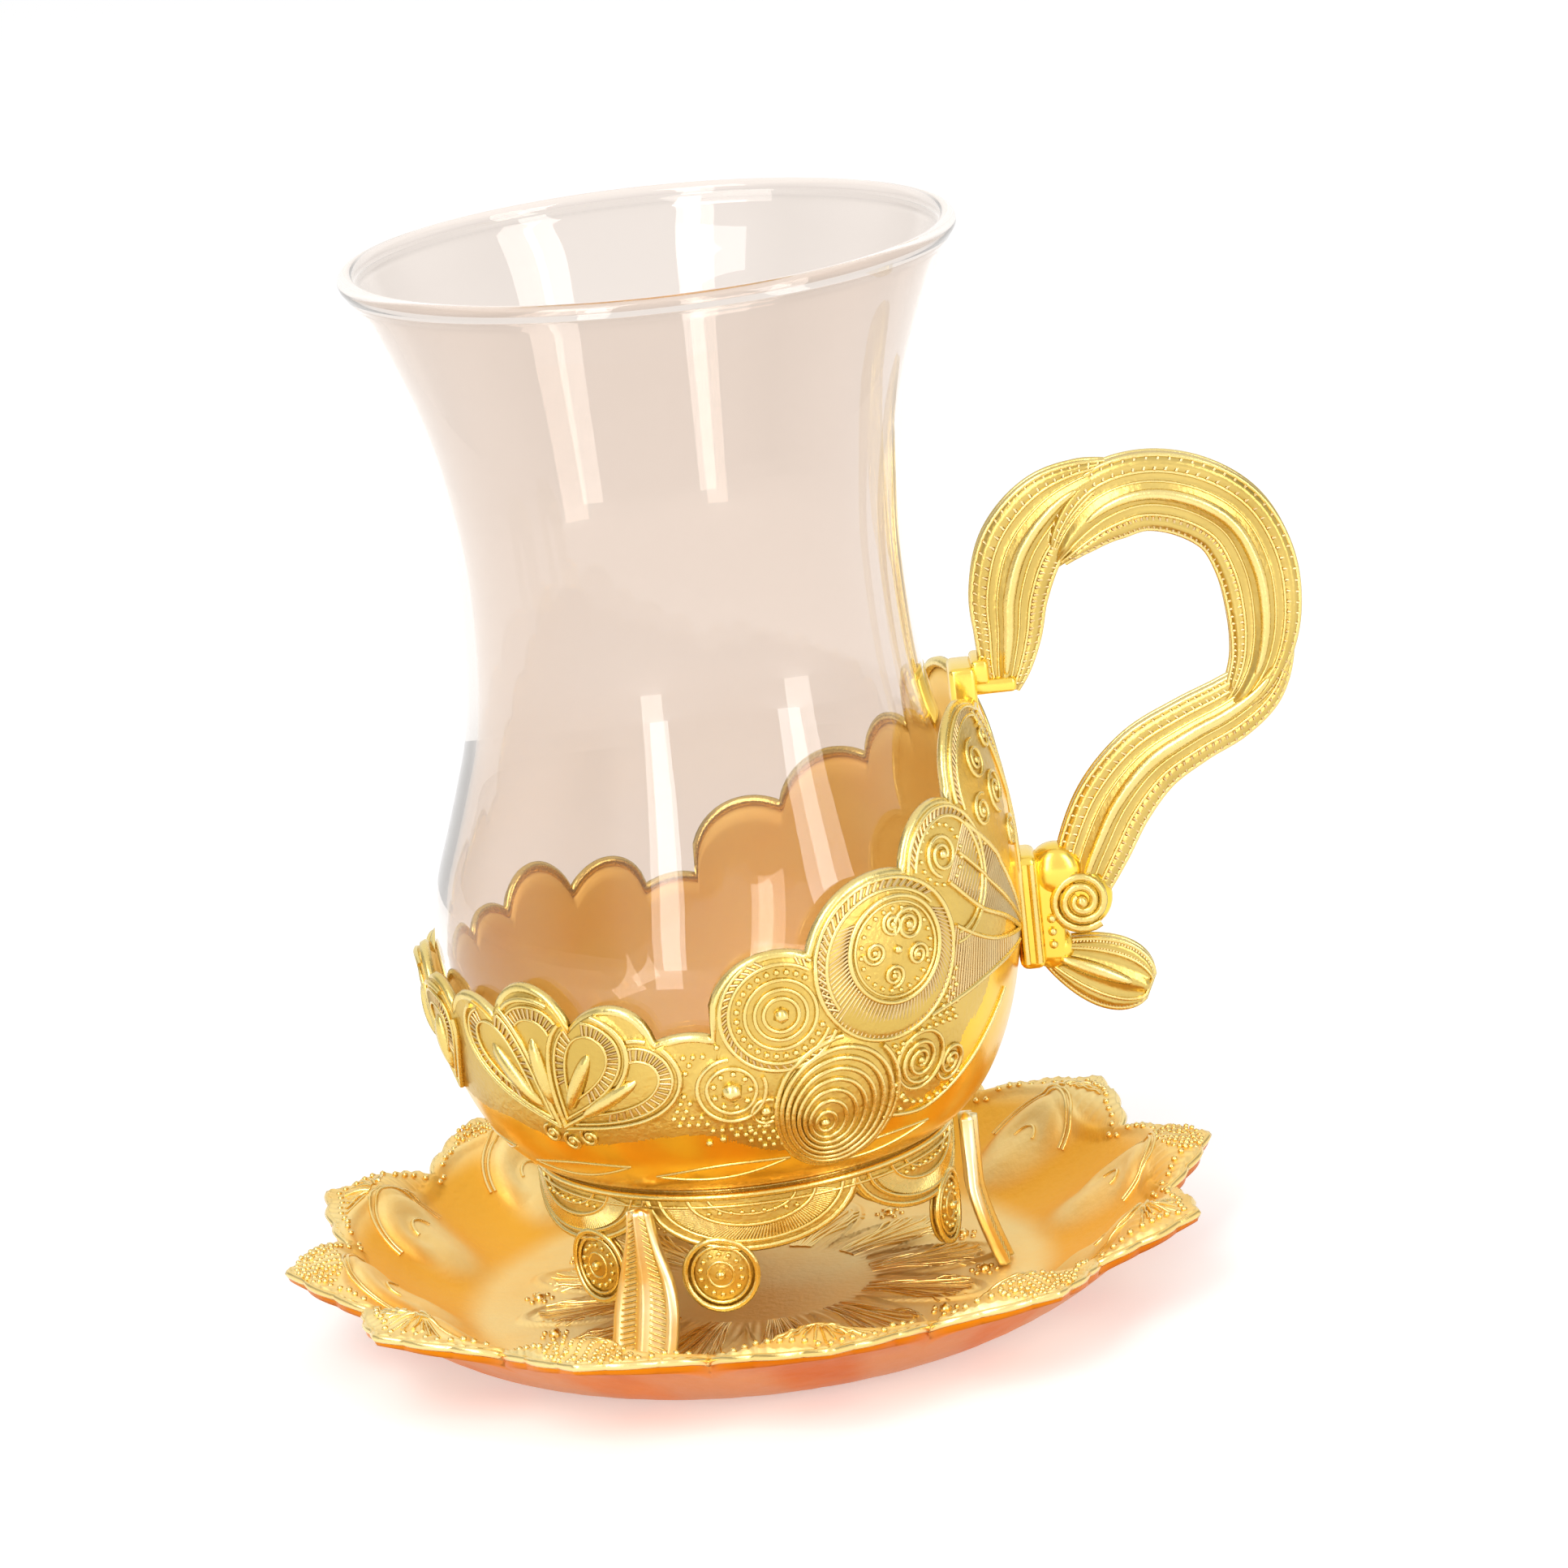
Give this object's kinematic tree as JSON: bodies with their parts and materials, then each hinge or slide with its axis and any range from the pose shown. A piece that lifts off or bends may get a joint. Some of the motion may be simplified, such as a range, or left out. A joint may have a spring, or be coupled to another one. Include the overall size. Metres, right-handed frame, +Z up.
{
  "type": "tea glass in a holder with a saucer",
  "caption": "Waisted clear tea glass seated in a gilt filigree holder with a scrolled handle and leaf-shaped legs, standing on a gilt saucer with a lobed rim.",
  "frame": {"origin": "middle of the saucer's flat underside, on the axis of the glass", "axes": "+Z up along the glass's axis, +X from the axis towards the handle, +Y completes the right hand"},
  "size_m": [0.1146, 0.1008, 0.1154],
  "materials": {
    "gilt_holder": "bright gilding over cast metal",
    "gilt_saucer": "bright gilding over cast metal",
    "clear_glass": "clear, polished"
  },
  "bodies": {
    "root": {"saucer": "gilt_saucer", "foot_gallery": "gilt_holder", "leg_1": "gilt_holder", "leg_2": "gilt_holder", "leg_3": "gilt_holder", "holder_cup": "gilt_holder", "handle": "gilt_holder", "tea_glass": "clear_glass"}
  },
  "joints": []
}
